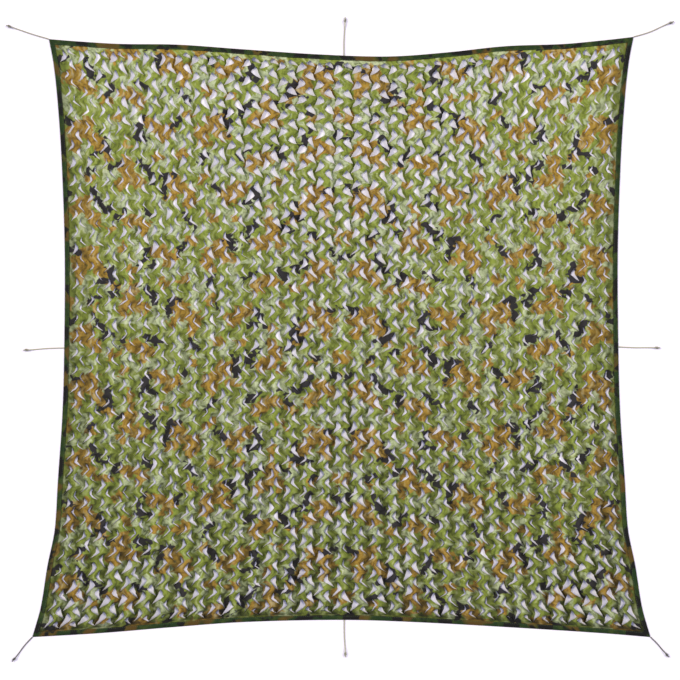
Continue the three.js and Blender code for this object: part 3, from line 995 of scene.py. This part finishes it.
def wavy(along, length, seed):
    """A slow wave of height about 1 that never repeats in the strip's length."""
    phase = seed * 1.7
    return (np.sin(along / length + phase) + np.sin(along / length * 2.3 + 2 * phase)) / 2


def pucker(along, inward, seed):
    """How much higher than flat the upper layer lies."""
    return PUCKER * (1 + wavy(along, PUCKER_WAVE, seed + 1)) * inward / TAPE_WIDTH


def tape(side, seed):
    """One side's strip, and how far along and inward each of its points is."""
    section = tape_section()
    count = round(FLAT_SIDE / TAPE_STEP)
    rings = []
    for inward, height in section:
        start = inward + MITRE_CLEARANCE
        along = np.linspace(start, FLAT_SIDE - start, count + 1)
        wander = inward + EDGE_WANDER * wavy(along, EDGE_WAVE, seed) * inward / TAPE_WIDTH
        is_upper = height > TAPE_INSIDE - 1
        lift = height + is_upper * pucker(along, inward, seed)
        rings.append(np.column_stack([along, wander, lift]))
    grid = np.stack(rings, 1)
    size = len(section)
    along, inward, height = grid.reshape(-1, 3).T
    points = np.column_stack([stretched(*TO_SQUARE[side](along, inward)), height])
    first, corner = np.arange(count)[:, None] * size, np.arange(size)[None, :]
    a, b = (first + corner).ravel(), (first + (corner + 1) % size).ravel()
    faces = np.stack([a, b, b + size, a + size], 1)
    runs_backwards = side in ("top", "right")
    if runs_backwards:
        faces = faces[:, ::-1]
    caps = [list(range(size)), list(range(count * size, (count + 1) * size))]
    caps[0 if runs_backwards else 1].reverse()
    made = piece(f"edge_tape_{side}", points, [*faces.tolist(), *caps], sharp_degrees=50)
    store(made, "tape_place", np.column_stack([along + STRIP_SHIFT * seed, inward, height]))
    return made


tapes = {side: tape(side, seed) for seed, side in enumerate(TO_SQUARE)}
print("points in one strip:", len(tapes["top"].data.vertices))

# %% The seam's stitches
STITCH_LENGTH = 6.0
STITCH_PITCH = 9.0
STITCH_LINE = 20.5
THREAD_RADIUS = 0.55
# (share of the stitch's length from its middle, height, width), in thread radii
STITCH_RINGS = [(-0.5, 0.1, 0.2), (-0.25, 1.0, 0.9), (0.25, 1.0, 0.9), (0.5, 0.1, 0.2)]
THREAD_CORNERS = [(-1, 0), (0, 1), (1, 0), (0, -1)]


def stitches():
    """One piece of small thread bars, sunk at both ends, along all four strips."""
    points, faces = [], []
    corners = len(THREAD_CORNERS)
    first_at, end_at = STITCH_LINE + STITCH_PITCH, FLAT_SIDE - STITCH_LINE - STITCH_PITCH
    for seed, place in enumerate(TO_SQUARE.values()):
        for along in np.arange(first_at, end_at, STITCH_PITCH):
            first = len(points)
            top = TAPE_INSIDE + TAPE_THICK + pucker(along, STITCH_LINE, seed)
            for share, height, wide in STITCH_RINGS:
                s = along + share * STITCH_LENGTH
                for inward, up in THREAD_CORNERS:
                    xy = stretched(*place(s, STITCH_LINE + inward * wide * THREAD_RADIUS))
                    points.append((*xy, top + (height - 0.5 + up * wide) * THREAD_RADIUS))
            for ring in range(first, len(points) - corners, corners):
                for k in range(corners):
                    a, b = ring + k, ring + (k + 1) % corners
                    faces.append([a, b, b + corners, a + corners])
            faces.append([first + k for k in reversed(range(corners))])
            faces.append([len(points) - corners + k for k in range(corners)])
    return piece("seam_stitches", points, faces)


seam = stitches()
print("stitches:", len(seam.data.vertices) // (len(STITCH_RINGS) * len(THREAD_CORNERS)))

# %% [markdown]
# ## Finishes of the small pieces
#
# The tape is the same polyester, woven narrower and tighter, so it has a fine rib across and
# takes the dyes darker. Its thread is spun polyester, dull and fuzzy. The ropes are laid
# polypropylene, drawn into smooth fibres that catch a slight gloss along each strand.

# %% Finishes for the tape, its thread and the ropes
TAPE_GREEN, TAPE_BROWN, TAPE_BLACK = "#182e10", "#4c3a12", "#0e0f0c"
BROWN_STRETCH, BLACK_STRETCH, FADED_SIZE = 190.0, 114.0, 30.0
RIB_DEPTH = 0.4
THREAD_FRESH, THREAD_WORN, WORN_SIZE = "#33502f", "#5b6b45", 200.0
# The last two colours are the cord under painted shade.
CORD_SHADE, CORD_LIGHT, SHADED_CORD_DARK, SHADED_CORD_PALE = "#8f8e72", "#a9a88f", "#2b2f28", "#45483a"
FIBRE_SIZE, FIBRE_DEPTH = 1.2, 0.3


def tape_cloth():
    """Doubled polyester in the net's darkest dyes, which change in long stretches."""
    material, tree, shader = new_material(
        "doubled_polyester_tape", Roughness=0.75, Specular_IOR_Level=0.2)
    place = add(tree, "ShaderNodeAttribute", output="Vector", attribute_name="tape_place")
    brown, faded, black = [
        add(tree, "ShaderNodeTexNoise",
            {"Vector": place, "Scale": 1 / size, "Detail": detail, "Lacunarity": lacunarity})
        for size, detail, lacunarity in (
            (BROWN_STRETCH, 2.0, 2.0), (FADED_SIZE, 3.0, 2.0), (BLACK_STRETCH, 2.0, 2.4))]
    colour = dyed(tree, linear(TAPE_GREEN), linear(TAPE_BROWN), brown, 0.53, 0.57)
    colour = dyed(tree, colour, linear(OLIVE), faded, 0.45, 0.8, 0.4)
    colour = dyed(tree, colour, linear(TAPE_BLACK), black, 0.52, 0.55)
    tree.links.new(colour, shader.inputs["Base Color"])
    rib = add(tree, "ShaderNodeTexWave", {"Vector": place, "Scale": WAVE_SCALE}, "Fac")
    inputs = {"Height": rib, "Distance": RIB_DEPTH * MM, "Strength": 0.6}
    tree.links.new(add(tree, "ShaderNodeBump", inputs), shader.inputs["Normal"])
    return material


def sewing_thread():
    """Spun polyester thread: dull, and a little paler than the tape it holds."""
    material, tree, shader = new_material("spun_polyester_thread", Roughness=0.6, Sheen_Weight=0.4)
    place = add(tree, "ShaderNodeTexCoord", output="Object")
    inputs = {"Vector": place, "Scale": 1 / (WORN_SIZE * MM), "Detail": 2.0}
    worn = add(tree, "ShaderNodeTexNoise", inputs)
    colour = dyed(tree, linear(THREAD_FRESH), linear(THREAD_WORN), worn)
    tree.links.new(colour, shader.inputs["Base Color"])
    return material


def laid_cord():
    """Laid polypropylene: a slight gloss, with fine fibres that run along each strand."""
    material, tree, shader = new_material("laid_polypropylene", Roughness=0.5, Sheen_Weight=0.3)
    place = add(tree, "ShaderNodeTexCoord", output="Object")
    inputs = {"Vector": place, "Scale": 1 / (FIBRE_SIZE * MM), "Detail": 3.0}
    fibres = add(tree, "ShaderNodeTexNoise", inputs)
    # Painted shade: each piece's stored share mixes in a darker copy of the cord.
    shade_share = add(tree, "ShaderNodeAttribute", output="Fac", attribute_name="painted_shade")
    unshaded_cord = dyed(tree, linear(CORD_SHADE), linear(CORD_LIGHT), fibres)
    shaded_cord = dyed(tree, linear(SHADED_CORD_DARK), linear(SHADED_CORD_PALE), fibres)
    tree.links.new(dyed(tree, unshaded_cord, shaded_cord, shade_share), shader.inputs["Base Color"])
    inputs = {"Height": fibres, "Distance": FIBRE_DEPTH * MM, "Strength": 0.6}
    tree.links.new(add(tree, "ShaderNodeBump", inputs), shader.inputs["Normal"])
    return material


tape_finish, thread_finish, cord_finish = tape_cloth(), sewing_thread(), laid_cord()
for side, made in tapes.items():
    made.data.materials.append(tape_finish)
    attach(made, "root")
    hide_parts(f"binding_{side}")
seam.data.materials.append(thread_finish)
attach(seam, "root")

# Painted shade: the ropes at the near corners are drawn much darker than the far corners' ropes, though
# the cord is the same.
ROPE_SHADE_SHARES = {"bottom_left": 0.95, "bottom_right": 0.95, "top_left": 0.25, "top_right": 0.25}
# A knot gets this much more painted shade.
KNOT_SHADE_MORE = 0.35  # a knot holds this much more
for place in ROPES:
    for made, more in ((rope_pieces[place], 0), (knot_pieces[place], KNOT_SHADE_MORE)):
        share = min(1, ROPE_SHADE_SHARES.get(place, 0) + more)
        store(made, "painted_shade", np.full(len(made.data.vertices), share))
        made.data.materials.append(cord_finish)

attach(net, "root")
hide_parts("net")
print("finishes:", [m.name for m in (cloth_finish, tape_finish, thread_finish, cord_finish)])

# %% [markdown]
# ## Floor and light
#
# The floor is plain and nearly white. Two broad side lights, the stronger one on the left,
# give every twisted strip a bright side and a shaded side. The sky's faintly violet light
# fills the gaps, where the cloth keeps both lights off the floor.

# %% Floor
FLOOR_HALF = 30  # metres
corners = [(x * FLOOR_HALF, y * FLOOR_HALF, 0) for x, y in ((-1, -1), (1, -1), (1, 1), (-1, 1))]
floor_mesh = bpy.data.meshes.new("floor")
floor_mesh.from_pydata(corners, [], [[0, 1, 2, 3]])
floor = bpy.data.objects.new("floor", floor_mesh)
bpy.context.scene.collection.objects.link(floor)
floor_finish, _, floor_shader = new_material("matt_studio_floor", Roughness=0.9)
floor_shader.inputs["Base Color"].default_value = linear("#ecebf4")
floor_mesh.materials.append(floor_finish)

# %% Two side lights and the sky
SIDE_LIGHT = linear("#fff2d0")[:3]  # a light's colour has no alpha
SIDE_SOFTNESS = 24  # degrees across
LIGHT_TILT = 48  # degrees from straight down
# name: (strength, degrees round from the right)
LIGHTS = {"left_light": (2.3, 160), "right_light": (1.7, 25)}
SKY = "#d2d4fc"
SKY_STRENGTH = 0.8

for name, (strength, round_from) in LIGHTS.items():
    light_data = bpy.data.lights.new(name, "SUN")
    light_data.energy = strength
    light_data.angle = math.radians(SIDE_SOFTNESS)
    light_data.color = SIDE_LIGHT
    light = bpy.data.objects.new(name, light_data)
    tilt = Matrix.Rotation(math.radians(LIGHT_TILT), 3, "Y")
    light.rotation_euler = (Matrix.Rotation(math.radians(round_from), 3, "Z") @ tilt).to_euler()
    bpy.context.scene.collection.objects.link(light)

world = bpy.data.worlds.new("sky")
world.use_nodes = True
background = world.node_tree.nodes["Background"]
background.inputs["Color"].default_value = linear(SKY)
background.inputs["Strength"].default_value = SKY_STRENGTH
bpy.context.scene.world = world
bpy.context.scene.view_settings.view_transform = "Standard"
print("lit from both sides,", LIGHT_TILT, "degrees from overhead")
